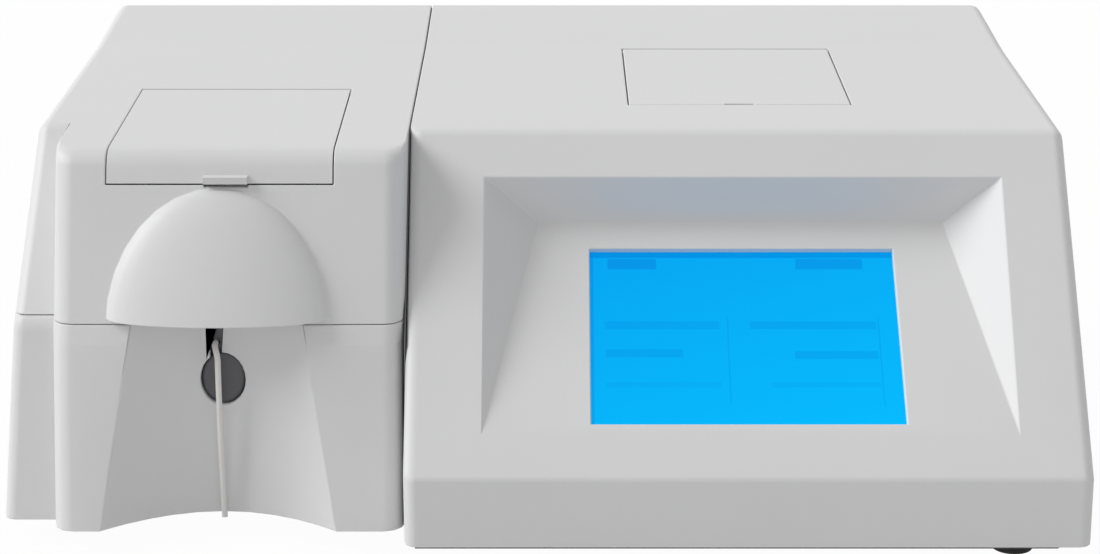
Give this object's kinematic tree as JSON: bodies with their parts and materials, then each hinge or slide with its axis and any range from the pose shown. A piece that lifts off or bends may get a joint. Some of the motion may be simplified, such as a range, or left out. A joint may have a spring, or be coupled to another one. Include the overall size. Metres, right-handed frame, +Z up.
{
  "type": "benchtop chemistry analyzer",
  "caption": "Benchtop chemistry analyzer with a sloped housing, sunken touch screen, flow-cell lid, printer lid, sipper button and hanging sipper tube.",
  "frame": {"origin": "on the table under the middle of the footprint", "axes": "+X to the viewer's right, front faces -Y, +Z up"},
  "size_m": [0.419, 0.29, 0.1605],
  "materials": {
    "housing_plastic": "light grey, lightly textured",
    "dark_plastic": "dark grey, matt",
    "button_plastic": "dark grey, matt",
    "painted_steel": "black powder coat",
    "steel": "bright",
    "aluminium": "satin",
    "screen_glass": "lit blue, glossy",
    "clear_glass": "clear, polished",
    "white_ceramic": "white, unglazed",
    "circuit_board": "green solder mask",
    "rubber": "black, matt",
    "tube_plastic": "milky, smooth",
    "paper": "white"
  },
  "bodies": {
    "casing": {"right_housing": "housing_plastic", "hood": "housing_plastic", "lower_left_housing": "housing_plastic", "cell_bay_frame": "dark_plastic", "printer_tub": "dark_plastic", "paper_spindle": "dark_plastic", "button_switch": "dark_plastic", "pump_head": "dark_plastic", "waste_fitting": "dark_plastic", "lens_tube": "dark_plastic", "fan_frame": "dark_plastic", "mains_inlet": "dark_plastic", "fuse_holder": "dark_plastic", "switch_frame": "dark_plastic", "tube_guide": "button_plastic", "base_tray": "painted_steel", "rear_panel": "painted_steel", "cell_lid_pin": "steel", "printer_lid_pin": "steel", "printer_motor": "steel", "button_spring": "steel", "pump_motor": "steel", "filter_motor": "steel", "lamp_house": "steel", "serial_port": "steel", "usb_port": "steel", "print_head": "aluminium", "display_module": "aluminium", "optical_bench": "aluminium", "cell_block": "aluminium", "heat_sink": "aluminium", "power_supply": "aluminium", "touch_glass": "screen_glass", "flow_cell": "clear_glass", "halogen_lamp": "clear_glass", "peltier_cooler": "white_ceramic", "display_board": "circuit_board", "detector_board": "circuit_board", "mainboard": "circuit_board", "foot_front_left": "rubber", "foot_front_right": "rubber", "foot_rear_left": "rubber", "foot_rear_right": "rubber", "sipper_tube": "tube_plastic", "feed_tube": "tube_plastic", "pump_tube": "tube_plastic"},
    "cell_lid": {"cell_lid": "housing_plastic"},
    "printer_lid": {"printer_lid": "housing_plastic"},
    "button": {"sipper_button": "button_plastic"},
    "rocker": {"power_rocker": "dark_plastic"},
    "pump_rotor": {"pump_rotor": "aluminium"},
    "fan_rotor": {"fan_rotor": "dark_plastic"},
    "filter_wheel": {"filter_wheel": "dark_plastic"},
    "paper_roll": {"paper_roll": "paper"},
    "pinion": {"motor_pinion": "dark_plastic"},
    "platen": {"platen_roller": "rubber", "platen_gear": "dark_plastic"}
  },
  "joints": [
    {"name": "cell_lid_hinge", "type": "hinge", "parent": "casing", "child": "cell_lid", "pos_m": [-0.1237, 0.003, 0.15074], "axis": [-1, 0, 0], "range_deg": [0, 100]},
    {"name": "printer_lid_hinge", "type": "hinge", "parent": "casing", "child": "printer_lid", "pos_m": [0.0816, 0.07, 0.15306], "axis": [-1, 0, 0], "range_deg": [0, 100]},
    {"name": "sipper_button_slide", "type": "slide", "parent": "casing", "child": "button", "axis": [0, 1, 0], "range_m": [0, 0.003], "stiffness_N_per_m": 250, "springref_m": -0.003, "deforming": ["button_spring"]},
    {"name": "power_rocker_tilt", "type": "hinge", "parent": "casing", "child": "rocker", "pos_m": [0.1148, 0.14055, 0.088], "axis": [-1, 0, 0], "range_deg": [0, 18]},
    {"name": "pump_rotor_spin", "type": "hinge", "parent": "casing", "child": "pump_rotor", "pos_m": [-0.1862, -0.045, 0.05], "axis": [1, 0, 0], "continuous": true},
    {"name": "fan_spin", "type": "hinge", "parent": "casing", "child": "fan_rotor", "pos_m": [-0.1242, 0.132, 0.095], "axis": [0, 1, 0], "continuous": true},
    {"name": "filter_wheel_spin", "type": "hinge", "parent": "casing", "child": "filter_wheel", "pos_m": [-0.1242, 0.005, 0.078], "axis": [0, 1, 0], "continuous": true},
    {"name": "paper_roll_spin", "type": "hinge", "parent": "casing", "child": "paper_roll", "pos_m": [0.0763, 0.041, 0.1215], "axis": [1, 0, 0], "continuous": true},
    {"name": "platen_spin", "type": "hinge", "parent": "casing", "child": "platen", "pos_m": [0.0763, -0.0005, 0.1345], "axis": [1, 0, 0], "continuous": true},
    {"name": "pinion_spin", "type": "hinge", "parent": "casing", "child": "pinion", "pos_m": [0.1171, -0.0005, 0.1173], "axis": [1, 0, 0], "continuous": true}
  ],
  "couplings": [
    {"joint": "pinion_spin", "follows": "platen_spin", "ratio": -1.4286}
  ]
}
